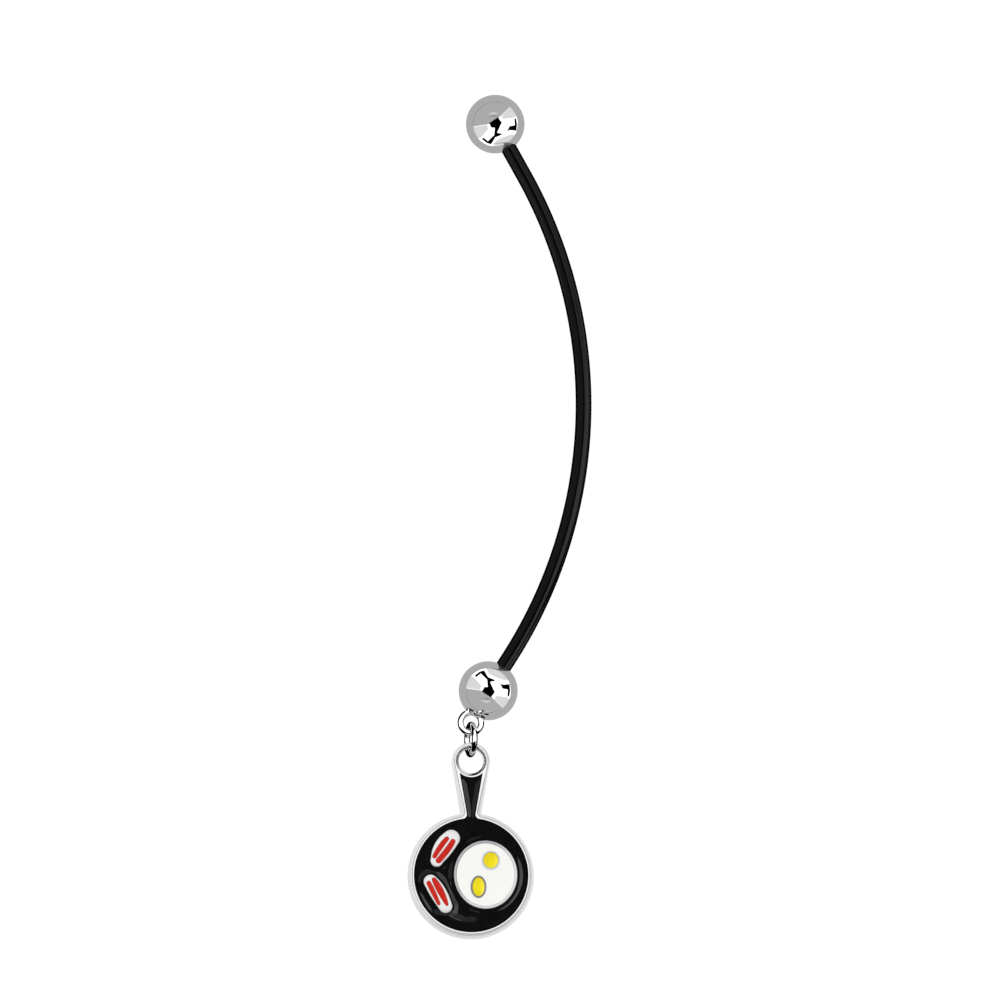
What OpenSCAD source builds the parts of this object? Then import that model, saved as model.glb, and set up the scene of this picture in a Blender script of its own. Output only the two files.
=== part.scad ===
// Belly button ring with a long flexible bar, a polished ball at each end and a
// frying pan charm that hangs by a jump ring from the lower ball.
// Millimetres, Z up, X to the right, Y away from the viewer. The origin is the
// middle of the bar's bend, where the ring sits in the skin.

/* [Bar] */
// Diameter of the flexible bar, 14 gauge
bar_d = 1.63; // [1.2:0.01:2]
// Radius of the bar's bend, to its centreline
bend_r = 48.8; // [44:0.1:56]
// Angle of the bend above the origin
upper_bend = 29; // [26:0.1:32]
// Angle of the bend below the origin
lower_bend = 32.3; // [29:0.1:35]
// Straight run from the bend's upper end to the upper ball's centre
upper_straight = 6; // [4:0.1:8]
// Straight run from the bend's lower end to the lower ball's centre
lower_straight = 4.1; // [3.6:0.1:6]

/* [Balls] */
// Diameter of each ball
ball_d = 6; // [5:0.1:7]
// How far the bar's end runs past a ball's centre
seat_past_centre = 0.8; // [0.2:0.1:1.2]
// Clearance between the bar and a ball's bore, on the radius
bore_gap = 0.02; // [0.01:0.01:0.05]
// Clearance beyond the bar's end in the blind bore
bore_end_gap = 0.1; // [0.05:0.05:0.3]

/* [Loop and jump ring] */
// Distance from the lower ball's centre to the centre of its soldered loop
loop_reach = 3.71; // [3.5:0.01:3.9]
// Lean of the loop to the left of straight down
loop_lean = 28.3; // [20:0.1:35]
// Radius of the loop, to its wire's centreline
loop_r = 1.05; // [0.95:0.01:1.2]
// Wire diameter of the loop
loop_wire = 0.62; // [0.5:0.01:0.7]
// Radius of the jump ring, to its wire's centreline
link_r = 1.53; // [1.5:0.01:1.7]
// Wire diameter of the jump ring
link_wire = 0.6; // [0.5:0.01:0.65]
// Turn of the jump ring about the vertical
link_yaw = 12; // [0:1:20]
// Running clearance where the jump ring hangs and where the charm hangs on it
hang_gap = 0.24; // [0.2:0.01:0.3]

/* [Pan] */
// Thickness of the charm
pan_t = 1.5; // [1.3:0.05:1.6]
// Outer radius of the pan's disc
disc_r = 6.4; // [6.2:0.05:6.6]
// Height of the eye's centre above the disc's centre
eye_rise = 11.7; // [11.4:0.05:12]
// Outer radius of the eye
eye_r = 1.94; // [1.9:0.01:2]
// Radius of the eye's hole
hole_r = 1.24; // [1.2:0.01:1.28]
// Chamfer at each end of the eye's hole
hole_chamfer = 0.22; // [0.1:0.01:0.25]
// Angle between the handle's side and its axis
handle_taper = 9.8; // [9:0.1:10.5]
// Radius of the outer fillet where the handle joins the disc
neck_fillet = 0.16; // [0.1:0.01:0.3]
// How far the front edge stands in from the widest outline
draft = 0.32; // [0.2:0.01:0.35]
// Depth of the sloped wall below the front face
draft_depth = 0.9; // [0.6:0.05:1.1]
// Bevel round the back edge
back_bevel = 0.12; // [0.05:0.01:0.2]

/* [Enamel] */
// Radius of the black enamel on the disc
enamel_r = 5.8; // [5.6:0.05:5.9]
// Width from the handle's outline to its enamel
handle_rim = 0.58; // [0.5:0.01:0.65]
// Radius from the eye's centre to the top of the handle's enamel
enamel_top_r = 1.71; // [1.6:0.01:1.8]
// Radius of the enamel's fillet at the handle's neck
enamel_fillet = 0.45; // [0.3:0.05:0.8]
// Depth of the enamel pockets
pocket_depth = 0.35; // [0.25:0.05:0.45]
// How far the enamel's surface lies below the metal
enamel_drop = 0.03; // [0:0.01:0.08]
// Clearance between enamel and metal at the sides
enamel_gap = 0.015; // [0.01:0.005:0.03]

/* [Egg] */
// Centre of the egg on the disc, across
egg_x = 1.47; // [1.2:0.01:1.7]
// Centre of the egg on the disc, up
egg_y = 0.07; // [-0.2:0.01:0.3]
// Half width of the egg's ring
egg_half_w = 3.24; // [3:0.01:3.4]
// Half height of the egg's ring
egg_half_h = 3.5; // [3.3:0.01:3.7]
// Width of the metal ring round the egg
egg_ring = 0.3; // [0.2:0.01:0.35]
// Width of the metal ring round each yolk
yolk_ring = 0.17; // [0.12:0.01:0.22]

/* [Hidden] */
$fn = 96;

// Each row: centre across, centre up, half width, half height of the yellow
yolk_upper_row = [2.00, 1.54, 0.76, 0.80];
yolk_lower_row = [0.75, -1.17, 0.63, 0.97];

// A bacon shape is three rows along its length: across, up, half width
rasher_upper = [[-2.02, 3.75, 0.90], [-2.88, 2.67, 0.98], [-3.49, 1.48, 0.66]];
rasher_lower = [[-4.10, -0.67, 0.74], [-3.34, -1.80, 0.86], [-2.60, -3.17, 0.71]];
stripe_upper_left = [[-2.47, 3.70, 0.23], [-3.10, 2.91, 0.27], [-3.72, 1.90, 0.22]];
stripe_upper_right = [[-1.86, 3.42, 0.27], [-2.48, 2.47, 0.31], [-3.31, 1.47, 0.29]];
stripe_lower_left = [[-4.30, -0.83, 0.24], [-3.81, -1.81, 0.25], [-3.28, -2.92, 0.17]];
stripe_lower_right = [[-3.77, -0.47, 0.23], [-3.12, -1.61, 0.34], [-2.46, -2.98, 0.17]];

// Places along the chain, worked out from the lower ball down
lower_ball_x = bend_r * (cos(lower_bend) - 1) - lower_straight * sin(lower_bend);
lower_ball_z = -bend_r * sin(lower_bend) - lower_straight * cos(lower_bend);
chain_x = lower_ball_x - loop_reach * sin(loop_lean);
loop_z = lower_ball_z - loop_reach * cos(loop_lean);
link_z = loop_z - loop_r + loop_wire / 2 + link_wire / 2 + hang_gap - link_r;
eye_z = link_z - link_r + link_wire / 2 + hang_gap - hole_r;
disc_z = eye_z - eye_rise;

// The handle's side is a line that touches the eye. Its outward normal and its
// direction, on the right-hand side, and its distance from the disc's centre
side_normal = [cos(handle_taper), -sin(handle_taper)];
side_along = [sin(handle_taper), cos(handle_taper)];
side_offset = eye_r - eye_rise * sin(handle_taper);
eye_centre = [0, eye_rise];

pocket_floor = pan_t / 2 - pocket_depth;
enamel_t = pocket_depth - enamel_drop;

// How far cutters reach past what they cut, how deep the ridges of the relief and
// the handle's root run into the metal that carries them, and how far the handle's
// flat sides cross the rounds that they meet
cut_over = 0.5;
relief_root = 0.25;
neck_root = 0.45;
lip = 0.015;

// The bead between the bar's bend and a straight end: how far it stands out, and
// how far short of its centre the bend and the straight end stop inside it
bead_swell = 0.01;
bead_gap = 0.04;

// Straight steps in the drawn outlines: the half disc, a fillet, the arc below the
// eye, a strip's side, a strip's round end and an oval
disc_steps = 44;
fillet_steps = 5;
eye_steps = 12;
curve_steps = 10;
cap_steps = 10;
oval_steps = 64;

// The charm's edge from back to front: each row is [inset from the outline, z]
edge_rows = [[back_bevel, -pan_t / 2],
             [0, -pan_t / 2 + back_bevel],
             [0, pan_t / 2 - draft_depth],
             [draft, pan_t / 2]];

// Points of an arc, after its first point when skip is 1
function arc(centre, r, from, to, steps, skip = 0) =
    [for (i = [skip:steps])
        let (a = from + (to - from) * i / steps)
        centre + r * [cos(a), sin(a)]];

// The same points on the other side of the charm's axis, in reverse, without the
// first, which is on the axis, and the last too when skip is 1
function mirrored(points, skip = 0) =
    [for (i = [len(points) - 1 - skip:-1:1]) [-points[i][0], points[i][1]]];

// A point on the handle's side line, at an inset, at a distance along the line
function side_point(inset, along) =
    (side_offset - inset) * side_normal + along * side_along;

// Centre of a fillet of radius f between a circle of radius r round the disc's
// centre and the handle's side line at an inset
function neck_centre(r, inset, f) =
    let (across = side_offset - inset + f)
    across * side_normal + sqrt((r + f) * (r + f) - across * across) * side_along;

// Up the right of a disc of radius r, and round the fillet to the handle's side
function up_to_handle(r, inset, f) =
    let (c = neck_centre(r, inset, f), lean = atan2(c[1], c[0]))
    concat(arc([0, 0], r, -90, lean, disc_steps),
           arc(c, f, 180 + lean, 180 - handle_taper, fillet_steps, 1));

// The outline of the enamelled field of disc and handle, shrunk by gap
function field_outline(gap) =
    let (inset = handle_rim + gap, r = enamel_top_r + gap,
         corner = -handle_taper - acos((eye_r - inset) / r),
         side = concat(up_to_handle(enamel_r - gap, inset, enamel_fillet + gap),
                       arc(eye_centre, r, corner, -90, eye_steps)))
    concat(side, mirrored(side, 1));

// The row at t, from 0 to 1, on a smooth curve through three rows
function row_at(rows, t) =
    rows[0] * (1 - t) * (1 - 2 * t) + rows[1] * 4 * t * (1 - t) + rows[2] * t * (2 * t - 1);

// Heading of that curve at t, in degrees
function heading_at(rows, t) =
    let (d = row_at(rows, t + 0.01) - row_at(rows, t - 0.01))
    atan2(d[1], d[0]);

// A point of the outline: at t, square to the curve turned by an angle
function outline_point(rows, t, turn, grow) =
    let (row = row_at(rows, t), a = heading_at(rows, t) + turn, r = row[2] + grow)
    [row[0] + r * cos(a), row[1] + r * sin(a)];

// Outline of a strip with round ends along three rows
function strip_points(rows, grow) = concat(
    [for (i = [0:curve_steps]) outline_point(rows, i / curve_steps, -90, grow)],
    [for (i = [1:cap_steps - 1]) outline_point(rows, 1, -90 + 180 * i / cap_steps, grow)],
    [for (i = [curve_steps:-1:0]) outline_point(rows, i / curve_steps, 90, grow)],
    [for (i = [1:cap_steps - 1]) outline_point(rows, 0, 90 + 180 * i / cap_steps, grow)]);

module oval(half_w, half_h) {
    polygon([for (i = [0:oval_steps - 1])
        [half_w * cos(360 * i / oval_steps), half_h * sin(360 * i / oval_steps)]]);
}

// Puts children at a ball's centre, with Z running out along the bar
module at_ball(side, bend, straight) {
    translate([-bend_r, 0, 0])
        rotate([0, -side * bend, 0])
            translate([bend_r, 0, side * straight])
                rotate([side > 0 ? 0 : 180, 0, 0])
                    children();
}

module at_top_ball() {
    at_ball(1, upper_bend, upper_straight) children();
}

module at_bottom_ball() {
    at_ball(-1, lower_bend, lower_straight) children();
}

// Straight end of the bar, from the bend's end into the ball, with the bead that
// joins it to the bend
module bar_end(straight) {
    translate([0, 0, -straight]) sphere(d = bar_d + 2 * bead_swell);
    translate([0, 0, bead_gap - straight])
        cylinder(d = bar_d, h = straight - bead_gap + seat_past_centre);
}

module bored_ball() {
    difference() {
        sphere(d = ball_d);
        translate([0, 0, -ball_d])
            cylinder(d = bar_d + 2 * bore_gap, h = ball_d + seat_past_centre + bore_end_gap);
    }
}

module ring(r, wire) {
    rotate_extrude() translate([r, 0]) circle(d = wire);
}

// Puts children on the charm: X across, Y up and Z towards the viewer, from the
// disc's centre
module on_pan() {
    translate([chain_x, 0, disc_z]) rotate([90, 0, 0]) children();
}

// A solid through equal rings of points, from the lowest ring up. Each ring's first
// point sees all its others, so that its end face splits into triangles from there
module loft(rings) {
    n = len(rings[0]);
    top = (len(rings) - 1) * n;
    polyhedron(
        points = [for (r = rings) for (p = r) p],
        faces = concat(
            [[for (i = [0:n - 1]) i]],
            [for (k = [0:n:top - n]) for (i = [0:n - 1])
                [k + i, k + n + i, k + n + (i + 1) % n, k + (i + 1) % n]],
            [[for (i = [n:-1:1]) top + i % n]]));
}

// A round part of the charm with the sloped edge
module pan_round(r) {
    rotate_extrude()
        polygon(concat([[0, -pan_t / 2]], [for (e = edge_rows) [r - e[0], e[1]]],
                       [[0, pan_t / 2]]));
}

// The handle, with its fillets to the disc
module handle_body() {
    c = neck_centre(disc_r, 0, neck_fillet);
    lean = atan2(c[1], c[0]);
    loft([for (e = edge_rows)
        let (f = neck_fillet + e[0],
             root = c - (f + neck_root) * c / norm(c),
             side = concat([[0, root[1] - lip], root],
                           arc(c, f - lip, 180 + lean, 180 - handle_taper, fillet_steps),
                           [side_point(e[0] + lip, eye_rise * cos(handle_taper))]))
        [for (p = concat(side, mirrored(side))) [p[0], p[1], e[1]]]]);
}

module pan_blank() {
    pan_round(disc_r);
    translate(eye_centre) pan_round(eye_r);
    handle_body();
}

module eye_cutter() {
    reach = pan_t / 2 + cut_over;
    wide = hole_r + hole_chamfer + cut_over;
    translate(eye_centre)
        rotate_extrude()
            polygon([[0, -reach], [wide, -reach], [hole_r, hole_chamfer - pan_t / 2],
                     [hole_r, pan_t / 2 - hole_chamfer], [wide, reach], [0, reach]]);
}

module egg(grow) {
    translate([egg_x, egg_y]) oval(egg_half_w + grow, egg_half_h + grow);
}

module yolk(row, grow) {
    translate([row[0], row[1]]) oval(row[2] + grow, row[3] + grow);
}

module rasher(rows, grow) {
    polygon(strip_points(rows, grow));
}

module black_shape(gap) {
    difference() {
        polygon(field_outline(gap));
        egg(gap);
        rasher(rasher_upper, gap);
        rasher(rasher_lower, gap);
    }
}

module white_shape(gap) {
    difference() {
        egg(-egg_ring - gap);
        yolk(yolk_upper_row, yolk_ring + gap);
        yolk(yolk_lower_row, yolk_ring + gap);
    }
}

// Stands a ridge or island on the pocket's floor, rooted in the metal below
module island() {
    translate([0, 0, pocket_floor - relief_root])
        linear_extrude(pocket_depth + relief_root) children();
}

module yolk_rim(row) {
    island() difference() {
        yolk(row, yolk_ring);
        yolk(row, 0);
    }
}

module rasher_rim(rows, stripe_left, stripe_right) {
    island() difference() {
        rasher(rows, 0);
        rasher(stripe_left, 0);
        rasher(stripe_right, 0);
    }
}

module enamel(colour) {
    color(colour)
        on_pan()
            translate([0, 0, pocket_floor])
                linear_extrude(enamel_t)
                    children();
}

module bar() {
    short = bead_gap / bend_r * 180 / PI;
    color([0.06, 0.06, 0.07]) {
        translate([-bend_r, 0, 0])
            rotate([90, 0, 0])
                rotate([0, 0, short - lower_bend])
                    rotate_extrude(angle = upper_bend + lower_bend - 2 * short)
                        translate([bend_r, 0]) circle(d = bar_d);
        at_top_ball() bar_end(upper_straight);
        at_bottom_ball() bar_end(lower_straight);
    }
}

module top_ball() {
    color([0.80, 0.80, 0.81]) at_top_ball() bored_ball();
}

module bottom_ball() {
    color([0.80, 0.80, 0.81]) {
        at_bottom_ball() bored_ball();
        translate([chain_x, 0, loop_z]) rotate([90, 0, 0]) ring(loop_r, loop_wire);
    }
}

module link() {
    color([0.76, 0.76, 0.78])
        translate([chain_x, 0, link_z])
            rotate([0, 0, link_yaw])
                rotate([0, 90, 0])
                    ring(link_r, link_wire);
}

module pan_casting() {
    color([0.82, 0.82, 0.83])
        on_pan() {
            difference() {
                pan_blank();
                eye_cutter();
                translate([0, 0, pocket_floor])
                    linear_extrude(pan_t) polygon(field_outline(0));
            }
            island() difference() {
                egg(0);
                egg(-egg_ring);
            }
            yolk_rim(yolk_upper_row);
            yolk_rim(yolk_lower_row);
            rasher_rim(rasher_upper, stripe_upper_left, stripe_upper_right);
            rasher_rim(rasher_lower, stripe_lower_left, stripe_lower_right);
        }
}

module black_enamel() {
    enamel([0.05, 0.05, 0.05]) black_shape(enamel_gap);
}

module egg_white() {
    enamel([0.96, 0.96, 0.94]) white_shape(enamel_gap);
}

module yolk_piece(row) {
    enamel([0.92, 0.84, 0.08]) yolk(row, -enamel_gap);
}

module stripe_piece(rows) {
    enamel([0.78, 0.14, 0.10]) rasher(rows, -enamel_gap);
}

bar();
top_ball();
bottom_ball();
link();
pan_casting();
black_enamel();
egg_white();
yolk_piece(yolk_upper_row);  // yolk_upper
yolk_piece(yolk_lower_row);  // yolk_lower
stripe_piece(stripe_upper_left);  // bacon_upper_left
stripe_piece(stripe_upper_right);  // bacon_upper_right
stripe_piece(stripe_lower_left);  // bacon_lower_left
stripe_piece(stripe_lower_right);  // bacon_lower_right
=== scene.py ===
import math

import bmesh
import bpy
import numpy as np
from mathutils import Matrix, Vector, noise


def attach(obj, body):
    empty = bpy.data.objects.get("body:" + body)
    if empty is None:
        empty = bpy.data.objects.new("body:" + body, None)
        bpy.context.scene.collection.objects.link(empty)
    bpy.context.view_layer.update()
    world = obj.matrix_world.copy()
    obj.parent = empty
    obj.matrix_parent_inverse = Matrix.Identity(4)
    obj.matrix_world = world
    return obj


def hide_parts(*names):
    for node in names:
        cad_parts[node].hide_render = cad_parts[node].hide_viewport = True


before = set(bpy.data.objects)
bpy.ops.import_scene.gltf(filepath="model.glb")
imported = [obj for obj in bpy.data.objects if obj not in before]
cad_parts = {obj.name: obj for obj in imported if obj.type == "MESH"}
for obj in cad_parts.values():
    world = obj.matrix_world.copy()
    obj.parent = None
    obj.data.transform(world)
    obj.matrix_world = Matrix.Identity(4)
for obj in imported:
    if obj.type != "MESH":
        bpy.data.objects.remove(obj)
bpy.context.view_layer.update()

# Sizes in millimetres and angles in radians, as in the part's source. An oval is (across, up,
# half width, half height), and a strip is three rows of (across, up, half width)
MM = 0.001
BAR_D = 1.63
BEND_R = 48.8
UPPER_BEND = math.radians(29)
LOWER_BEND = math.radians(32.3)
UPPER_STRAIGHT = 6.0
LOWER_STRAIGHT = 4.1
BALL_R = 3.0
SEAT_PAST_CENTRE = 0.8
BORE_R = BAR_D / 2 + 0.02
BORE_END = 0.9
LOOP_REACH = 3.71
LOOP_LEAN = math.radians(28.3)
LOOP_R = 1.05
LOOP_WIRE = 0.62
LINK_R = 1.53
LINK_WIRE = 0.6
LINK_YAW = math.radians(12)
HANG_GAP = 0.24

HALF_T = 0.75
DISC_R = 6.4
EYE_RISE = 11.7
EYE_R = 1.94
HOLE_R = 1.24
TAPER = math.radians(9.8)
NECK_FILLET = 0.16
POCKET_FLOOR = 0.4
ENAMEL_R = 5.8
HANDLE_RIM = 0.58
ENAMEL_TOP_R = 1.71
ENAMEL_FILLET = 0.45
EGG = (1.47, 0.07, 3.24, 3.5)
EGG_RING = 0.3
YOLKS = {"upper": (2.00, 1.54, 0.76, 0.80), "lower": (0.75, -1.17, 0.63, 0.97)}
YOLK_RING = 0.17
RASHERS = {
    "upper": ((-2.02, 3.75, 0.90), (-2.88, 2.67, 0.98), (-3.49, 1.48, 0.66)),
    "lower": ((-4.10, -0.67, 0.74), (-3.34, -1.80, 0.86), (-2.60, -3.17, 0.71)),
}
STRIPES = {
    "upper_left": ((-2.47, 3.70, 0.23), (-3.10, 2.91, 0.27), (-3.72, 1.90, 0.22)),
    "upper_right": ((-1.86, 3.42, 0.27), (-2.48, 2.47, 0.31), (-3.31, 1.47, 0.29)),
    "lower_left": ((-4.30, -0.83, 0.24), (-3.81, -1.81, 0.25), (-3.28, -2.92, 0.17)),
    "lower_right": ((-3.77, -0.47, 0.23), (-3.12, -1.61, 0.34), (-2.46, -2.98, 0.17)),
}


def bar_end(bend, straight, side):
    """Centre of the ball on one end of the bar: side is 1 for the upper end, -1 for the lower."""
    return Vector((BEND_R * (math.cos(bend) - 1) - straight * math.sin(bend), 0,
                   side * BEND_R * math.sin(bend) + side * straight * math.cos(bend)))


# Places down the chain
upper_ball = bar_end(UPPER_BEND, UPPER_STRAIGHT, 1)
lower_ball = bar_end(LOWER_BEND, LOWER_STRAIGHT, -1)
loop_centre = lower_ball - LOOP_REACH * Vector((math.sin(LOOP_LEAN), 0, math.cos(LOOP_LEAN)))
chain_x = loop_centre.x
link_z = loop_centre.z - LOOP_R + LOOP_WIRE / 2 + LINK_WIRE / 2 + HANG_GAP - LINK_R
disc_z = link_z - LINK_R + LINK_WIRE / 2 + HANG_GAP - HOLE_R - EYE_RISE


def turned(centre, x_axis, y_axis, z_axis):
    """A placing matrix from a centre and three axes."""
    m = Matrix((x_axis, y_axis, z_axis)).transposed().to_4x4()
    m.translation = centre
    return m


ON_CHARM = turned((chain_x, 0, disc_z), (1, 0, 0), (0, 0, 1), (0, -1, 0))


def at_ball(centre, bend, side):
    """Placing at a ball's centre, with Z out along the bar."""
    return turned(centre, (side * math.cos(bend), 0, math.sin(bend)), (0, 1, 0),
                  (-math.sin(bend), 0, side * math.cos(bend)))


# --- materials ---


class Value:
    """A socket's value, which takes part in sums. Each sum adds its node."""

    def __init__(self, finish, socket):
        self.finish, self.socket = finish, socket

    def maths(self, operation, first, second):
        return self.finish.node("ShaderNodeMath", {"operation": operation}, {0: first, 1: second})

    def __add__(self, other):
        return self.maths("ADD", self, other)

    __radd__ = __add__

    def __mul__(self, other):
        return self.maths("MULTIPLY", self, other)

    __rmul__ = __mul__

    def __sub__(self, other):
        return self.maths("SUBTRACT", self, other)

    def __rsub__(self, other):
        return self.maths("SUBTRACT", other, self)

    def __pow__(self, other):
        return self.maths("POWER", self, other)


class Finish:
    """A node tree of a material, a light or the world."""

    def __init__(self, owner):
        owner.use_nodes = True
        self.owner, self.tree = owner, owner.node_tree
        self.tree.nodes.clear()

    def node(self, kind, settings=None, sockets=None, out=0):
        """Makes any node: its settings first, then the values or links of its sockets."""
        n = self.tree.nodes.new(kind)
        for key, value in (settings or {}).items():
            setattr(n, key, value)
        for key, value in (sockets or {}).items():
            if isinstance(value, Value):
                self.tree.links.new(value.socket, n.inputs[key])
            elif isinstance(value, tuple) and len(value) == 3 and n.inputs[key].type == "RGBA":
                n.inputs[key].default_value = (*value, 1)
            else:
                n.inputs[key].default_value = value
        return Value(self, n.outputs[out]) if n.outputs else None

    def where(self, scale=(1, 1, 1), turn=(0, 0, 0)):
        """Object coordinates in millimetres, stretched and turned."""
        place = self.node("ShaderNodeTexCoord", out="Object")
        return self.node("ShaderNodeMapping", None, {
            "Vector": place, "Rotation": turn, "Scale": tuple(s / MM for s in scale)})

    def cloud(self, size, detail, scale=(1, 1, 1), turn=(0, 0, 0)):
        """Noise from 0 to 1 whose lumps are about size millimetres."""
        return self.node("ShaderNodeTexNoise", None, {
            "Vector": self.where(scale, turn), "Scale": 1 / size, "Detail": detail,
            "Roughness": 0.55})

    def off_charm_point(self, x, y):
        """Distance in millimetres from a point on the charm's face."""
        return self.node("ShaderNodeVectorMath", {"operation": "DISTANCE"},
                         {0: self.where(), 1: (chain_x + x, -HALF_T, disc_z + y)}, out=1)

    def bump(self, height, depth, after=None):
        """A bump whose height of 1 is depth millimetres."""
        sockets = {"Strength": 1.0, "Distance": depth * MM, "Height": height}
        if after is not None:
            sockets["Normal"] = after
        return self.node("ShaderNodeBump", None, sockets)

    def blend(self, share, first, second):
        """Colour first where share is 0 and second where it is 1."""
        return self.node("ShaderNodeMix", {"data_type": "RGBA"},
                         {0: share, 6: first, 7: second}, out=2)

    def clamp(self, value, low, high):
        """value from low to high, brought to 0 to 1 and held there."""
        return self.node("ShaderNodeMapRange", {"clamp": True},
                         {"Value": value, "From Min": low, "From Max": high})

    def shade(self, **sockets):
        """Ends a material's tree in a Principled shader."""
        named = {k.replace("_", " "): v for k, v in sockets.items()}
        shader = self.node("ShaderNodeBsdfPrincipled", None, named)
        self.node("ShaderNodeOutputMaterial", None, {"Surface": shader})
        return self.owner


# Shades, the deeper one first where there are two
BAR_BLACKS = (0.0006, 0.0006, 0.0006), (0.0018, 0.0018, 0.002)
BALL_TINT = (0.87, 0.87, 0.88)
WIRE_TINT = (0.84, 0.84, 0.85)
CAST_METALS = (0.85, 0.86, 0.88), (0.92, 0.92, 0.915)
# Painted shade: the casting's metal darkened round the egg's ring
PAINTED_SHADE_METAL = (0.58, 0.59, 0.605)
# Painted reflection tints for the yolks' rings: pale lavender on the upper one, dark as painted
# shade on the lower one
RING_PAINTED_REFLECTIONS = {"upper": (0.80, 0.81, 0.92), "lower": (0.28, 0.29, 0.36)}
BLACKS = (0.0025, 0.0025, 0.0025), (0.0075, 0.0075, 0.0078)
WHITES = (0.90, 0.90, 0.868), (0.935, 0.935, 0.91)
YELLOWS = (0.74, 0.58, 0.003), (0.91, 0.79, 0.012)
REDS = (0.50, 0.010, 0.006), (0.64, 0.028, 0.015)
PLASTIC_IOR = 1.28
ENAMEL_IOR = 1.44


def bar_plastic():
    """Black flexible plastic, satin, with faint flow marks and grain."""
    f = Finish(bpy.data.materials.new("bar_plastic"))
    flow = f.cloud(0.9, 4, scale=(1, 1, 0.12))
    grain = f.cloud(0.07, 2)
    colour = f.blend(flow, *BAR_BLACKS)
    rough = 0.10 + flow * 0.07
    normal = f.bump(grain, 0.0012, f.bump(flow, 0.005))
    return f.shade(Base_Color=colour, Roughness=rough, Normal=normal, IOR=PLASTIC_IOR)


def mirror_steel(name, colour, low, high, grain_depth):
    """Polished steel with the haze of handling, rough from low to high, and polishing lines."""
    f = Finish(bpy.data.materials.new(name))
    haze = f.cloud(1.6, 4)
    lines = f.cloud(0.12, 2, scale=(1, 1, 0.15), turn=(0.4, 0.7, 0))
    tone = f.blend(haze, tuple(c * 0.98 for c in colour), colour)
    rough = low + haze * (high - low)
    normal = f.bump(lines, grain_depth)
    return f.shade(Base_Color=tone, Metallic=1.0, Roughness=rough, Normal=normal)


def plated_casting():
    """Bright plated casting: a soft cast skin, polished on the rim and satin inside the pan."""
    f = Finish(bpy.data.materials.new("plated_casting"))

    def near(x, y, reach, fade):
        """1 round a point of the charm's face, out to reach, and 0 from fade on."""
        return 1 - f.clamp(f.off_charm_point(x, y), reach, fade)

    skin = f.cloud(0.3, 4)
    wave = f.cloud(1.3, 2)
    depth = f.node("ShaderNodeSeparateXYZ", None, {0: f.where()}, out=1)
    inside = near(0, 0, 5.6, 5.75) * (1 - f.clamp(depth, -0.3, -0.1))
    back = f.clamp(depth, 0.60, 0.74)
    round_eye = near(0, EYE_RISE, 2.0, 2.6)
    tone = f.blend(wave, *CAST_METALS)
    # The egg's ring has painted shade but for its lower right, where the light falls, and each
    # yolk's ring
    #     has a painted reflection tint of its own
    painted_shade = inside * near(*EGG[:2], 3.55, 3.8) * near(-1.3, 2.2, 3.8, 5.0)
    tone = f.blend(painted_shade, tone, PAINTED_SHADE_METAL)
    for which, (x, y, _, _) in YOLKS.items():
        tone = f.blend(near(x, y, 1.2, 1.3), tone, RING_PAINTED_REFLECTIONS[which])
    rough = (0.20 + wave * 0.06 + skin * 0.04 + inside * 0.16) * (1 - round_eye * 0.5)
    normal = f.bump(skin * (inside * 2.5 + back * 0.45 + 0.05), 0.006, f.bump(wave, 0.008))
    return f.shade(Base_Color=tone, Metallic=1.0, Roughness=rough, Normal=normal)


def enamel(name, deep, light, rough, lump=0.8, lump_depth=0.006, painted_highlight_at=None):
    """Glossy fired enamel: two close shades that drift in lumps, a soft unevenness in the gloss,
    and a painted highlight: a paler patch at a point of the charm's face, where the light falls."""
    f = Finish(bpy.data.materials.new(name))
    drift = f.cloud(lump, 4)
    specks = f.cloud(0.12, 2)
    share = drift
    if painted_highlight_at:
        x, y = painted_highlight_at
        # The painted highlight: paler towards the point
        share = drift * 0.6 + (1 - f.clamp(f.off_charm_point(x, y), 0.15, 1.0)) * 0.7 - 0.1
    tone = f.blend(share, deep, light)
    normal = f.bump(specks, lump_depth * 0.06, f.bump(drift, lump_depth))
    return f.shade(Base_Color=tone, Roughness=rough + drift * 0.04, Normal=normal, IOR=ENAMEL_IOR)


bar_black = bar_plastic()
ball_steel = mirror_steel("ball_steel", BALL_TINT, 0.02, 0.05, 0.0004)
wire_steel = mirror_steel("wire_steel", WIRE_TINT, 0.03, 0.07, 0.001)
casting = plated_casting()
black_enamel = enamel("black_enamel", *BLACKS, 0.05)
white_enamel = enamel("white_enamel", *WHITES, 0.10, 1.4, 0.004)
# Each yolk has a painted highlight on its lower right
yellow_enamels = {"upper": enamel("yellow_enamel_upper", *YELLOWS, 0.10, 0.5, 0.01, (2.25, 1.2)),
                  "lower": enamel("yellow_enamel_lower", *YELLOWS, 0.10, 0.5, 0.01, (1.0, -1.3))}
red_enamel = enamel("red_enamel", *REDS, 0.12, 0.45, 0.008)


# --- meshes ---


WELD = 1e-4
FINE_WELD = 1e-5


def solid(bm, name):
    """Turns a bmesh into a mesh with its faces outwards."""
    bmesh.ops.recalc_face_normals(bm, faces=bm.faces)
    mesh = bpy.data.meshes.new(name)
    bm.to_mesh(mesh)
    bm.free()
    return mesh


pieces = []


def piece(bm, name, body, material, nodes, place=None, crease=38):
    """Makes a bmesh in millimetres a piece that rides on a body in the place of CAD nodes. Edges
    past crease degrees stay sharp."""
    if place is not None:
        bmesh.ops.transform(bm, matrix=place, verts=bm.verts)
    bmesh.ops.scale(bm, vec=(MM, MM, MM), verts=bm.verts)
    mesh = solid(bm, name)
    mesh.shade_smooth()
    mesh.set_sharp_from_angle(angle=math.radians(crease))
    mesh.materials.append(material)
    obj = bpy.data.objects.new(name, mesh)
    bpy.context.collection.objects.link(obj)
    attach(obj, body)
    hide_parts(*nodes)
    pieces.append(obj)
    return obj


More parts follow.
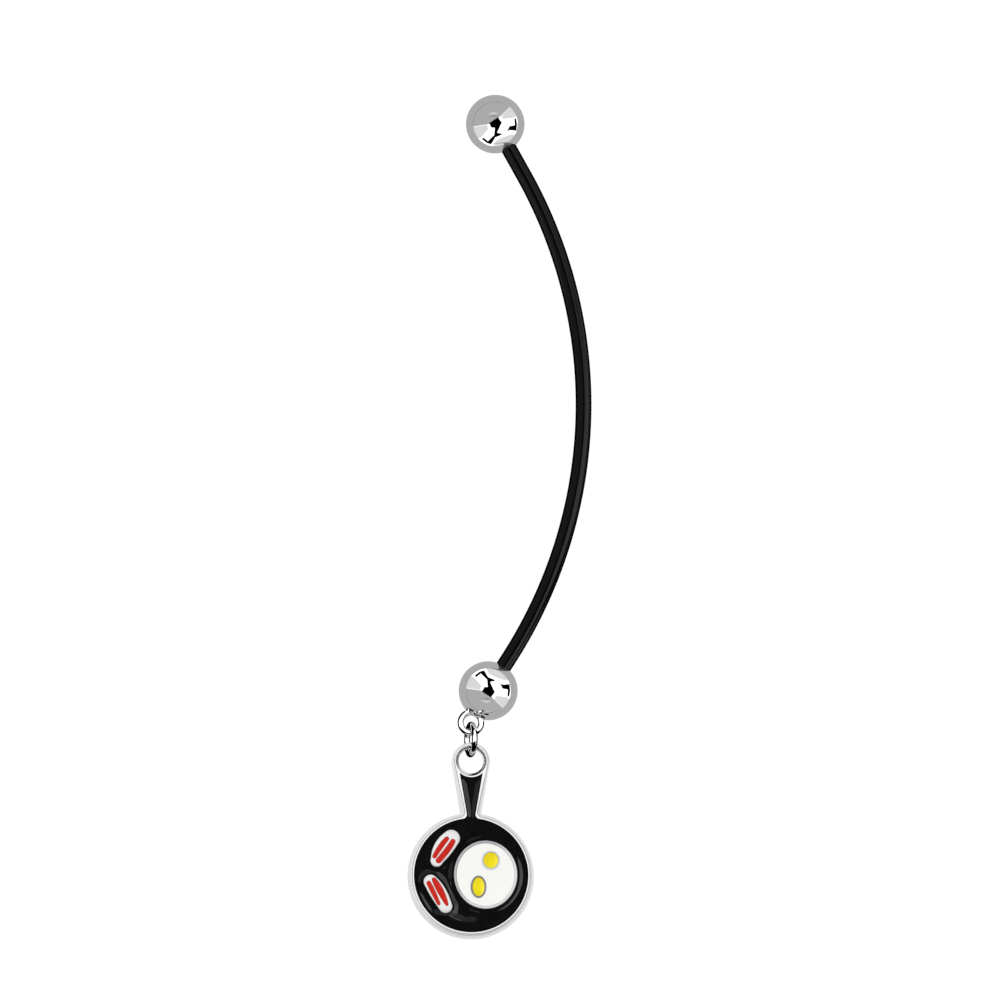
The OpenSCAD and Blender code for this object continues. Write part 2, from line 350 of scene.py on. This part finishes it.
def combined(base, others, operation="UNION"):
    """base with the others joined to it, or kept only where they overlap, as a new bmesh."""
    objs = []
    for part in [base, *others]:
        obj = bpy.data.objects.new("making", solid(part, "making"))
        bpy.context.collection.objects.link(obj)
        objs.append(obj)
    for other in objs[1:]:
        step = objs[0].modifiers.new("join", "BOOLEAN")
        step.operation, step.solver, step.object = operation, "EXACT", other
    graph = bpy.context.evaluated_depsgraph_get()
    made = bmesh.new()
    made.from_mesh(objs[0].evaluated_get(graph).data)
    for obj in objs:
        mesh = obj.data
        bpy.data.objects.remove(obj)
        bpy.data.meshes.remove(mesh)
    bmesh.ops.remove_doubles(made, verts=made.verts, dist=FINE_WELD)
    return made


def drawn_ring(bm, points, z):
    """A closed ring of edges at one height."""
    ring = [bm.verts.new((p[0], p[1], z)) for p in points]
    for i in range(len(ring)):
        bm.edges.new((ring[i - 1], ring[i]))
    return ring


def ring_edges(bm, ring):
    return [bm.edges.get((ring[i - 1], ring[i])) for i in range(len(ring))]


def wall(bm, rows):
    """Draws a wall through rows of (points, height). Returns its first and last ring's edges."""
    first = ring = drawn_ring(bm, *rows[0])
    for points, z in rows[1:]:
        made = bmesh.ops.extrude_edge_only(bm, edges=ring_edges(bm, ring))["geom"]
        new = {v for v in made if isinstance(v, bmesh.types.BMVert)}
        ring = [next(e.other_vert(v) for e in v.link_edges if e.other_vert(v) in new) for v in ring]
        for v, p in zip(ring, points):
            v.co = (p[0], p[1], z)
    return ring_edges(bm, first), ring_edges(bm, ring)


def fill(bm, edges):
    bmesh.ops.triangle_fill(bm, use_beauty=True, use_dissolve=False, edges=edges, normal=(0, 0, 1))


def plate(outer, pockets=(), holes=()):
    """A closed solid from its outer wall, drawn upwards, and pockets and holes, drawn downwards."""
    bm = bmesh.new()
    below, above = wall(bm, outer)
    for rows in pockets:
        top, floor = wall(bm, rows)
        above += top
        fill(bm, floor)
    for rows in holes:
        top, bottom = wall(bm, rows)
        above += top
        below += bottom
    fill(bm, above)
    fill(bm, below)
    return bm


# --- outlines, as in the part's source ---


def ray(angle, r=1.0):
    return Vector((r * math.cos(angle), r * math.sin(angle)))


def arc(centre, r, start, end, steps):
    return [centre + ray(start + (end - start) * i / steps, r) for i in range(steps + 1)]


# How much of an inset the eye's narrow land gets, up to EYE_STEP and past it
EYE_STEP = 0.22
EYE_SHARES = 0.45, 0.7
HUB = Vector((0, 0))
EYE = Vector((0, EYE_RISE))
SIDE_NORMAL = ray(-TAPER)
SIDE_ALONG = Vector((math.sin(TAPER), math.cos(TAPER)))
SIDE_OFFSET = EYE_R - EYE_RISE * math.sin(TAPER)


def neck_centre(r, inset, fillet):
    """Centre of the fillet between a disc and the handle's side."""
    across = SIDE_OFFSET - inset + fillet
    return across * SIDE_NORMAL + math.sqrt((r + fillet) ** 2 - across ** 2) * SIDE_ALONG


def both_sides(half):
    """A closed outline from its right half, whose ends are on the axis."""
    return half + [Vector((-p.x, p.y)) for p in half[-2:0:-1]]


def between(start, end, steps):
    return [start.lerp(end, i / steps) for i in range(1, steps)]


def pan_outline(inset):
    """The charm's outside, moved in by inset, and by less round the eye, whose land is narrow."""
    round_eye = EYE_SHARES[0] * min(inset, EYE_STEP) + EYE_SHARES[1] * max(0, inset - EYE_STEP)
    c = neck_centre(DISC_R, 0, NECK_FILLET)
    lean = math.atan2(c.y, c.x)
    neck = arc(c, NECK_FILLET + inset, math.pi + lean, math.pi - TAPER, 8)[1:]
    top = arc(EYE, EYE_R - round_eye, -TAPER, math.pi / 2, 26)
    return both_sides(arc(HUB, DISC_R - inset, -math.pi / 2, lean, 76) + neck
                      + between(neck[-1], top[0], 10) + top)


def field_outline(gap):
    """The enamelled field of disc and handle, shrunk by gap."""
    inset, r = HANDLE_RIM + gap, ENAMEL_TOP_R + gap
    fillet = ENAMEL_FILLET + gap
    c = neck_centre(ENAMEL_R - gap, inset, fillet)
    lean = math.atan2(c.y, c.x)
    neck = arc(c, fillet, math.pi + lean, math.pi - TAPER, 8)[1:]
    corner = -TAPER - math.acos((EYE_R - inset) / r)
    top = arc(EYE, r, corner, -math.pi / 2, 16)
    return both_sides(arc(HUB, ENAMEL_R - gap, -math.pi / 2, lean, 72) + neck
                      + between(neck[-1], top[0], 12) + top)


def eye_ring(r):
    return arc(EYE, r, 0, 2 * math.pi, 72)[:-1]


def oval(shape, grow, steps=88):
    x, y, half_w, half_h = shape
    return [Vector((x + (half_w + grow) * math.cos(2 * math.pi * i / steps),
                    y + (half_h + grow) * math.sin(2 * math.pi * i / steps)))
            for i in range(steps)]


def row_at(rows, t):
    """A strip's row at t from 0 to 1, on a curve through its three rows."""
    a, b, c = (Vector(r) for r in rows)
    return a * (1 - t) * (1 - 2 * t) + b * 4 * t * (1 - t) + c * t * (2 * t - 1)


def strip(rows, grow):
    """Outline of a strip with round ends."""
    sides, cap = 18, 12

    def at(t, turn):
        d = row_at(rows, t + 0.01) - row_at(rows, t - 0.01)
        row = row_at(rows, t)
        return row.xy + ray(math.atan2(d.y, d.x) + turn, row.z + grow)

    quarter = math.pi / 2
    return ([at(i / sides, -quarter) for i in range(sides + 1)]
            + [at(1, -quarter + math.pi * i / cap) for i in range(1, cap)]
            + [at(i / sides, quarter) for i in range(sides, -1, -1)]
            + [at(0, quarter + math.pi * i / cap) for i in range(1, cap)])


# --- bar, balls, loop and jump ring ---


def bar_mesh():
    """The bar: a straight end, the bend and the other straight end, swept from one circle."""
    bm = bmesh.new()
    made = bmesh.ops.create_circle(bm, cap_ends=True, segments=40, radius=BAR_D / 2)["verts"]
    start = at_ball(lower_ball, LOWER_BEND, -1) @ Matrix.Translation((0, 0, SEAT_PAST_CENTRE))
    bmesh.ops.transform(bm, matrix=start, verts=made)
    edges = list(bm.edges)

    def run(way):
        nonlocal edges
        geom = bmesh.ops.extrude_edge_only(bm, edges=edges)["geom"]
        bmesh.ops.translate(bm, vec=way,
                            verts=[g for g in geom if isinstance(g, bmesh.types.BMVert)])
        edges = [g for g in geom if isinstance(g, bmesh.types.BMEdge) and len(g.link_faces) == 1]

    inward = Vector((math.sin(LOWER_BEND), 0, math.cos(LOWER_BEND)))
    run(inward * (LOWER_STRAIGHT + SEAT_PAST_CENTRE))
    turned_on = bmesh.ops.spin(bm, geom=edges, cent=(-BEND_R, 0, 0), axis=(0, 1, 0), steps=110,
                               angle=-(UPPER_BEND + LOWER_BEND), use_merge=False)["geom_last"]
    edges = [g for g in turned_on if isinstance(g, bmesh.types.BMEdge)]
    outward = Vector((-math.sin(UPPER_BEND), 0, math.cos(UPPER_BEND)))
    run(outward * (UPPER_STRAIGHT + SEAT_PAST_CENTRE))
    bmesh.ops.contextual_create(bm, geom=edges)
    return bm


MOUTH_EASE = 0.05
LIP_DEPTH = 0.06


def ball_mesh():
    """A ball with its blind bore, whose mouth is eased, spun from half its section about Z."""
    steps = 76
    mouth = math.asin((BORE_R + MOUTH_EASE) / BALL_R)
    section = [ray(math.pi / 2 - (math.pi - mouth) * i / steps, BALL_R) for i in range(steps + 1)]
    section[0].x = 0
    lip = -math.sqrt(BALL_R ** 2 - BORE_R ** 2) + LIP_DEPTH
    section += [Vector((BORE_R + 0.015, lip - 0.02)), Vector((BORE_R, lip)),
                Vector((BORE_R, BORE_END)), Vector((0, BORE_END))]
    bm = bmesh.new()
    verts = [bm.verts.new((p.x, 0, p.y)) for p in section]
    edges = [bm.edges.new(pair) for pair in zip(verts, verts[1:])]
    bmesh.ops.spin(bm, geom=verts + edges, cent=(0, 0, 0), axis=(0, 0, 1), angle=2 * math.pi,
                   steps=128, use_merge=True)
    bmesh.ops.remove_doubles(bm, verts=bm.verts, dist=WELD)
    return bm


def wire_ring(r, wire, steps, sides):
    """A round ring of wire about Z."""
    bm = bmesh.new()
    bmesh.ops.create_circle(bm, segments=sides, radius=wire / 2)
    bmesh.ops.rotate(bm, cent=(0, 0, 0), matrix=Matrix.Rotation(math.pi / 2, 3, "X"),
                     verts=bm.verts)
    bmesh.ops.translate(bm, vec=(r, 0, 0), verts=bm.verts)
    bmesh.ops.spin(bm, geom=list(bm.verts) + list(bm.edges), cent=(0, 0, 0), axis=(0, 0, 1),
                   angle=2 * math.pi, steps=steps, use_merge=True)
    bmesh.ops.remove_doubles(bm, verts=bm.verts, dist=WELD)
    return bm


piece(bar_mesh(), "bar_rod", "bar", bar_black, ["bar"])
balls = [piece(ball_mesh(), "ball_upper", "top_ball", ball_steel, ["top_ball"],
               at_ball(upper_ball, UPPER_BEND, 1)),
         piece(ball_mesh(), "ball_lower", "bar", ball_steel, ["bottom_ball"],
               at_ball(lower_ball, LOWER_BEND, -1))]
IN_LOOP = Matrix.Translation(loop_centre) @ Matrix.Rotation(math.pi / 2, 4, "X")
IN_LINK = (Matrix.Translation((chain_x, 0, link_z)) @ Matrix.Rotation(LINK_YAW, 4, "Z")
           @ Matrix.Rotation(math.pi / 2, 4, "Y"))
wires = [piece(wire_ring(LOOP_R, LOOP_WIRE, 96, 32), "soldered_loop", "bar",
               wire_steel, ["bottom_ball"], IN_LOOP),
         piece(wire_ring(LINK_R, LINK_WIRE, 112, 36), "jump_ring", "link",
               wire_steel, ["link"], IN_LINK)]


# --- the pan charm ---

TOP = HALF_T
# Rows of (inset or growth, height): the outside upwards, the enamel's field and the eye downwards
RIM_ROWS = ((0.16, -TOP), (0.10, -TOP + 0.012), (0.055, -TOP + 0.035), (0.02, -TOP + 0.07),
            (0.0, -TOP + 0.12), (0.0, -0.15), (0.10, 0.20), (0.22, 0.60), (0.32, 0.64),
            (0.40, 0.668), (0.45, 0.738), (0.53, TOP))
FIELD_ROWS = ((-0.02, TOP), (-0.005, 0.735), (0.0, 0.71), (0.0, POCKET_FLOOR))
HOLE_ROWS = ((0.33, TOP), (0.27, 0.673), (0.20, 0.575), (0.12, 0.455), (0.06, 0.36),
             (0.0, 0.332), (0.0, -0.45), (0.03, -0.50), (0.21, -0.735), (0.24, -TOP))
# A ridge's foot outside, and the floor inside it, both sunk into the pan's metal
ROOT = POCKET_FLOOR - 0.1
SUNK = POCKET_FLOOR - 0.05
# A quarter round, as shares of its radius
ROUND = ((0.0, 1.0), (0.076, 0.617), (0.293, 0.293), (0.617, 0.076), (1.0, 0.0))


def ridge_plate(shape, grow, width, soft):
    """A ridge round an oval, with its top edges rounded over soft."""
    outer = [(0.0, ROOT)] + [(-a * soft, TOP - b * soft) for a, b in ROUND]
    inner = [(a * soft - width, TOP - b * soft) for a, b in ROUND[::-1]] + [(-width, SUNK)]
    return plate([(oval(shape, grow + g), z) for g, z in outer],
                 [[(oval(shape, grow + g), z) for g, z in inner]])


def rasher_plate(which):
    """A rasher with rounded edges and a pocket for each of its stripes."""
    outer = ((0.0, ROOT), (0.0, TOP - 0.11), (-0.015, TOP - 0.064), (-0.045, TOP - 0.024),
             (-0.09, TOP))
    pocket = ((0.018, TOP), (0.0, TOP - 0.02), (0.0, SUNK))
    return plate([(strip(RASHERS[which], g), z) for g, z in outer],
                 [[(strip(rows, g), z) for g, z in pocket]
                  for name, rows in STRIPES.items() if name.startswith(which)])


body_plate = plate([(pan_outline(i), z) for i, z in RIM_ROWS],
                   [[(field_outline(g), z) for g, z in FIELD_ROWS]],
                   [[(eye_ring(HOLE_R + g), z) for g, z in HOLE_ROWS]])
islands = [ridge_plate(EGG, 0, EGG_RING, 0.145)]
islands += [ridge_plate(yolk, YOLK_RING, YOLK_RING, 0.08) for yolk in YOLKS.values()]
islands += [rasher_plate(which) for which in RASHERS]
pan = piece(combined(body_plate, islands), "pan_metal", "charm", casting,
            ["pan_casting"], ON_CHARM, 30)

# The enamels stand off the metal's walls by FLOAT and on the floor of their fields
FLOAT = 0.004
ENAMEL_FOOT = POCKET_FLOOR + 0.01


def white_mesh():
    """The egg's white: level, and drawn up a little at the ring and round each yolk."""
    outer = ((0, ENAMEL_FOOT), (0, 0.675), (-0.05, 0.66), (-0.13, 0.65), (-0.26, 0.645))
    hole = ((0.24, 0.645), (0.12, 0.65), (0.045, 0.66), (0, 0.675), (0, ENAMEL_FOOT))
    return plate([(oval(EGG, -EGG_RING - FLOAT + g), z) for g, z in outer],
                 holes=[[(oval(yolk, YOLK_RING + FLOAT + g), z) for g, z in hole]
                        for yolk in YOLKS.values()])


def yolk_mesh(shape):
    """A yolk's dome."""
    rise = ((0, ENAMEL_FOOT), (0, 0.69), (-0.07, 0.725), (-0.17, 0.76), (-0.29, 0.785),
            (-0.43, 0.80))
    return plate([(oval(shape, g - FLOAT, 56), z) for g, z in rise])


def stripe_mesh(rows):
    """A rasher's red stripe, crowned a little."""
    rise = ((0, ENAMEL_FOOT), (0, 0.715), (-0.035, 0.735), (-0.08, 0.745))
    return plate([(strip(rows, g - FLOAT), z) for g, z in rise])


piece(white_mesh(), "egg_glaze", "charm", white_enamel, ["egg_white"], ON_CHARM)
for which, shape in YOLKS.items():
    piece(yolk_mesh(shape), "yolk_dome_" + which, "charm", yellow_enamels[which],
          ["yolk_" + which], ON_CHARM)
for which, rows in STRIPES.items():
    piece(stripe_mesh(rows), "bacon_stripe_" + which, "charm", red_enamel,
          ["bacon_" + which], ON_CHARM)


def distance_to(outline, x, y):
    """Distance of each point of a grid to a closed outline."""
    nearest = np.full(x.shape, 1e9)
    for a, b in zip(outline, outline[1:] + outline[:1]):
        dx, dy = b.x - a.x, b.y - a.y
        t = np.clip(((x - a.x) * dx + (y - a.y) * dy) / (dx * dx + dy * dy), 0, 1)
        nearest = np.minimum(nearest, np.hypot(x - a.x - t * dx, y - a.y - t * dy))
    return nearest


DRAWN_UP = 0.67


def black_mesh():
    """The black enamel: a fine grid, drawn up at every metal edge, cut to the field's shape."""
    shapes = [field_outline(0), oval(EGG, 0)] + [strip(rows, 0) for rows in RASHERS.values()]
    low, high, step = (-6.1, -6.1), (6.1, 11.4), 0.1
    across, up = round((high[0] - low[0]) / step), round((high[1] - low[1]) / step)
    bm = bmesh.new()
    bmesh.ops.create_grid(bm, x_segments=across, y_segments=up, size=0.5)
    x = np.array([(v.co.x + 0.5) * (high[0] - low[0]) + low[0] for v in bm.verts])
    y = np.array([(v.co.y + 0.5) * (high[1] - low[1]) + low[1] for v in bm.verts])
    rim = distance_to(shapes[0], x, y)
    relief = np.minimum.reduce([distance_to(s, x, y) for s in shapes[1:]])

    def rise(value, start, end):
        """0 up to start, 1 from end on, and smooth between."""
        s = np.clip((value - start) / (end - start), 0, 1)
        return s * s * (3 - 2 * s)

    # The enamel sags away from egg and rashers, more in the lower half, and away from the rim,
    # more in the handle. It sags again along the lower left, and swells below the lower rasher
    height = DRAWN_UP - (0.025 + 0.075 * rise(-y, -2.6, 0.4)) * rise(relief, 0.18, 0.62)
    height -= (0.02 + 0.07 * rise(y, 5.5, 6.5)) * rise(rim, 0.05, 0.55)
    sweep = 0.3 + 0.65 * rise(x, -4.0, -1.8)
    height -= 0.10 * rise(rim, sweep, sweep + 0.6) * rise(-y, 0.2, 1.6) * rise(-x, -1.0, 0.6)
    height += 0.10 * np.exp(-((x + 2.0) ** 2 / 1.2 + (y + 4.3) ** 2 / 0.35))
    for v, px, py, pz in zip(bm.verts, x, y, height):
        wave = 0.012 * noise.noise((px * 0.55, py * 0.55, 3.0))
        v.co = (px, py, pz + wave)
    for _ in range(2):
        bmesh.ops.smooth_vert(bm, verts=bm.verts, factor=0.5, use_axis_z=True)
    skirt = bmesh.ops.extrude_face_region(bm, geom=list(bm.faces))["geom"]
    for v in skirt:
        if isinstance(v, bmesh.types.BMVert):
            v.co.z = ENAMEL_FOOT
    tall = ((FLOAT, 0.2), (FLOAT, 0.9))
    cutter = plate([(field_outline(g), z) for g, z in tall],
                   holes=[[(oval(EGG, g), z) for g, z in tall[::-1]]]
                   + [[(strip(rows, g), z) for g, z in tall[::-1]] for rows in RASHERS.values()])
    return combined(bm, [cutter], "INTERSECT")


piece(black_mesh(), "pan_glaze", "charm", black_enamel, ["black_enamel"], ON_CHARM)


# --- camera, light and floor ---

# In metres from here on
AIM = Vector((-8.54, 0, -9.95)) * MM
FRAME_WIDTH = 0.1019
LENS = 400
SENSOR = 36
azimuth, elevation = math.radians(-3), math.radians(-8)
toward = Vector((math.sin(azimuth) * math.cos(elevation), -math.cos(azimuth) * math.cos(elevation),
                 math.sin(elevation)))
right = Vector((0, 0, 1)).cross(toward).normalized()
up = toward.cross(right)

camera = bpy.data.objects.new("camera", bpy.data.cameras.new("camera"))
bpy.context.collection.objects.link(camera)
camera.data.lens, camera.data.sensor_width = LENS, SENSOR
camera.location = AIM + toward * (FRAME_WIDTH * LENS / SENSOR)
camera.rotation_euler = toward.to_track_quat("Z", "Y").to_euler()
camera.data.clip_start, camera.data.clip_end = 0.01, 20
scene = bpy.context.scene
scene.camera = camera
scene.view_settings.view_transform = "Standard"
scene.view_settings.look = "None"


# A tent's panels, as (brightness, softness, corners). The corners are where they show in a ball:
# right and up, as shares of its radius
WHITE, PALE, GREY = 2.1, 0.80, 0.47
PANELS = (
    (PALE, 0.03, ((0.24, 0.14), (0.64, 0.20), (0.80, 0.35), (0.52, 0.64), (0.20, 0.275))),
    (PALE, 0.03, ((-0.26, -0.02), (-0.80, -0.09), (-0.80, -0.48), (-0.50, -0.50), (-0.22, -0.20))),
    (PALE, 0.03, ((0.005, -0.57), (-0.10, -0.80), (0.20, -0.82), (0.62, -0.60), (0.77, -0.36),
                  (0.55, -0.34), (0.25, -0.445))),
    (GREY, 0.012, ((-0.051, 0.006), (1.0, 1.132), (0.0, 2.0), (-1.5, 1.0), (-1.0, -0.113))),
    (PALE, 0.03, ((-0.22, 0.32), (-0.05, 0.33), (0.08, 0.33), (0.06, 0.36), (-0.04, 0.385),
                  (-0.14, 0.37))),
    (0.25, 0.03, ((-0.17, 0.25), (-0.08, 0.245), (0.03, 0.26), (0.06, 0.285), (-0.05, 0.29))),
    (0, 0.01, ((-0.214, 0.02), (-0.135, -0.137), (0.14, -0.145), (0.234, 0.04), (0.093, 0.223))),
    (0, 0.01, ((-0.02, -0.10), (-0.04, -0.41), (0.0, -0.46), (0.06, -0.33), (0.16, -0.105))),
    (0, 0.01, ((-0.03, -0.38), (0.0, -0.47), (0.18, -0.40), (0.26, -0.34), (0.05, -0.30))),
    (0, 0.01, ((-0.04, -0.38), (-0.26, -0.59), (-0.29, -0.655), (-0.16, -0.705), (-0.10, -0.645),
               (0.02, -0.44))),
    (0, 0.01, ((-0.25, -0.585), (-0.415, -0.455), (-0.465, -0.52), (-0.285, -0.665))),
    (0, 0.01, ((0.645, 0.195), (0.66, -0.03), (0.69, -0.225), (0.725, -0.225), (0.748, 0.0),
               (0.71, 0.20))),
    (0, 0.01, ((0.48, -0.075), (0.67, -0.035), (0.74, -0.05), (0.71, -0.225), (0.46, -0.215))),
    (0, 0.01, ((0.485, -0.075), (0.385, -0.285), (0.49, -0.215))),
)
# The wire rings and the pan are lit by tents of their own, as each reads well by another pattern
WIRE_PANELS = (
    (GREY, 0.05, ((-0.6, 0.16), (-0.1, 0.26), (-0.1, 0.7), (-0.6, 0.7))),
    (0, 0.02, ((-0.55, -0.10), (-0.50, -0.62), (0.42, -0.62), (0.42, -0.06))),
)
PAN_PANELS = (
    (0.88, 0.12, ((-0.12, -1.2), (-0.12, 1.2), (-1.5, 1.2), (-1.5, -1.2))),
    (0.42, 0.12, ((-1.5, -0.22), (-1.5, -1.5), (1.5, -1.5), (1.5, -0.22))),
    (1.1, 0.05, ((-0.13, -0.04), (0.23, -0.04), (0.23, 0.32), (-0.13, 0.32))),
)
# A tent ends where its edge shows in a ball, as a share of the ball's radius
TENT_EDGE = 0.76
WIRE_TENT_EDGE = 0.54
TENT_R = 10.0
PAN_TENT_BASE = 0.72
BALL_GLOW = 0.46
CHARM_GLOW = 0.85
CHARM_GLOW_REACH = math.radians(56)
# The even light on what is matt, and the white that the camera sees
ROOM_LEVEL = 1.13
BACKGROUND_LEVEL = 1.02
FLOOR_HALF = 4
FLOOR_Z = -0.25


def tent_level(f, way, upward, base, panels, edge):
    """How bright a tent is along a way from its middle: base, with the panels over it, and nothing
    beyond its edge."""
    def dot(vector, axis):
        return f.node("ShaderNodeVectorMath", {"operation": "DOT_PRODUCT"},
                      {0: vector, 1: tuple(axis)}, out=1)

    # The spot where the way shows in a ball. Straight behind there is none, so facing is held off -1
    facing = dot(way, toward)
    shrink = (facing.maths("MAXIMUM", facing, -0.98) * 2 + 2) ** -0.5
    spot = f.node("ShaderNodeCombineXYZ", None,
                  {0: dot(way, right) * shrink, 1: dot(way, upward) * shrink, 2: 1})

    def within(points, soft):
        """1 inside a convex outline, drawn anticlockwise, and 0 outside."""
        least = None
        for (ax, ay), (bx, by) in zip(points, points[1:] + points[:1]):
            length = math.hypot(bx - ax, by - ay)
            nx, ny = (ay - by) / length, (bx - ax) / length
            reach = dot(spot, (nx, ny, -nx * ax - ny * ay))
            least = reach if least is None else reach.maths("MINIMUM", least, reach)
        return f.clamp(least, -soft, soft)

    def anticlockwise(points):
        area = sum(a[0] * b[1] - a[1] * b[0] for a, b in zip(points, points[1:] + points[:1]))
        return points if area > 0 else points[::-1]

    level = base
    for shade, soft, points in panels:
        mask = within(anticlockwise(points), soft)
        level = level + mask * (shade - level)
    out_from_middle = ((1 - facing) * 0.5) ** 0.5
    # The tent is shaded on its upper left, close to its edge
    seam = f.clamp(dot(spot, (-0.7, 0.7, 0)), 0.1, 0.5) * f.clamp(out_from_middle, 0.72, 0.75)
    level = level * (1 - seam * 0.25)
    return level * (1 - f.clamp(out_from_middle, edge - 0.01, edge + 0.01))


def hang(name, light, lit):
    """Hangs a light that shows only as a reflection in the pieces lit."""
    obj = bpy.data.objects.new(name, light)
    bpy.context.collection.objects.link(obj)
    obj.visible_camera = obj.visible_diffuse = False
    group = bpy.data.collections.new(name)
    for lit_piece in lit:
        group.objects.link(lit_piece)
    obj.light_linking.receiver_collection = group
    return obj


def tent(name, lit, base=WHITE, panels=PANELS, edge=TENT_EDGE, upward=up):
    """A round studio tent of light, with the object in its middle."""
    light = bpy.data.lights.new(name, "POINT")
    light.shadow_soft_size, light.use_soft_falloff = TENT_R, False
    light.energy = (2 * math.pi * TENT_R) ** 2
    f = Finish(light)
    place = f.node("ShaderNodeNewGeometry", out="Position")
    way = f.node("ShaderNodeVectorMath", {"operation": "NORMALIZE"}, {0: place})
    level = tent_level(f, way, upward, base, panels, edge)
    glow = f.node("ShaderNodeEmission", None, {"Color": (1, 1, 1), "Strength": level})
    f.node("ShaderNodeOutputLight", None, {"Surface": glow})
    hang(name, light, lit)


def back_glow(name, reach, strength, lit):
    """A round glow behind the object, out to reach, an angle from its middle."""
    light = bpy.data.lights.new(name, "SUN")
    light.angle = 2 * reach
    light.energy = strength * math.pi * math.sin(reach) ** 2
    hang(name, light, lit).rotation_euler = (-toward).to_track_quat("Z", "Y").to_euler()


def room_light():
    """An even light on what is matt, and white for the camera."""
    world = bpy.data.worlds.new("room")
    scene.world = world
    world.cycles.sampling_method = "NONE"
    f = Finish(world)

    def ground(strength):
        return f.node("ShaderNodeBackground", None, {"Color": (1, 1, 1), "Strength": strength})

    def chosen(ray_kind, first, second):
        share = f.node("ShaderNodeLightPath", out=ray_kind)
        return f.node("ShaderNodeMixShader", None, {0: share, 1: first, 2: second})

    matt = chosen("Is Diffuse Ray", ground(0), ground(ROOM_LEVEL))
    lit = chosen("Is Camera Ray", matt, ground(BACKGROUND_LEVEL))
    f.node("ShaderNodeOutputWorld", None, {"Surface": lit})


room_light()
with_own_tent = [balls[1], pan, *wires]
tent("tent", [p for p in pieces if p not in with_own_tent])
tent("lower_ball_tent", balls[1:], upward=-up)
tent("wire_tent", wires, panels=WIRE_PANELS, edge=WIRE_TENT_EDGE)
tent("pan_tent", [pan], PAN_TENT_BASE, PAN_PANELS)
back_glow("ball_glow", math.pi - 2 * math.asin(TENT_EDGE), BALL_GLOW, balls)
back_glow("charm_glow", CHARM_GLOW_REACH, CHARM_GLOW, [pan])

floor_bm = bmesh.new()
bmesh.ops.create_grid(floor_bm, x_segments=2, y_segments=2, size=FLOOR_HALF)
bmesh.ops.translate(floor_bm, vec=(0, 0, FLOOR_Z), verts=floor_bm.verts)
floor_mesh = bpy.data.meshes.new("floor")
floor_bm.to_mesh(floor_mesh)
floor_bm.free()
floor_paper = Finish(bpy.data.materials.new("floor_paper"))
floor_mesh.materials.append(floor_paper.shade(Base_Color=(0.9, 0.9, 0.9), Roughness=0.8))
floor = bpy.data.objects.new("floor", floor_mesh)
bpy.context.collection.objects.link(floor)
floor.visible_glossy = floor.visible_shadow = False
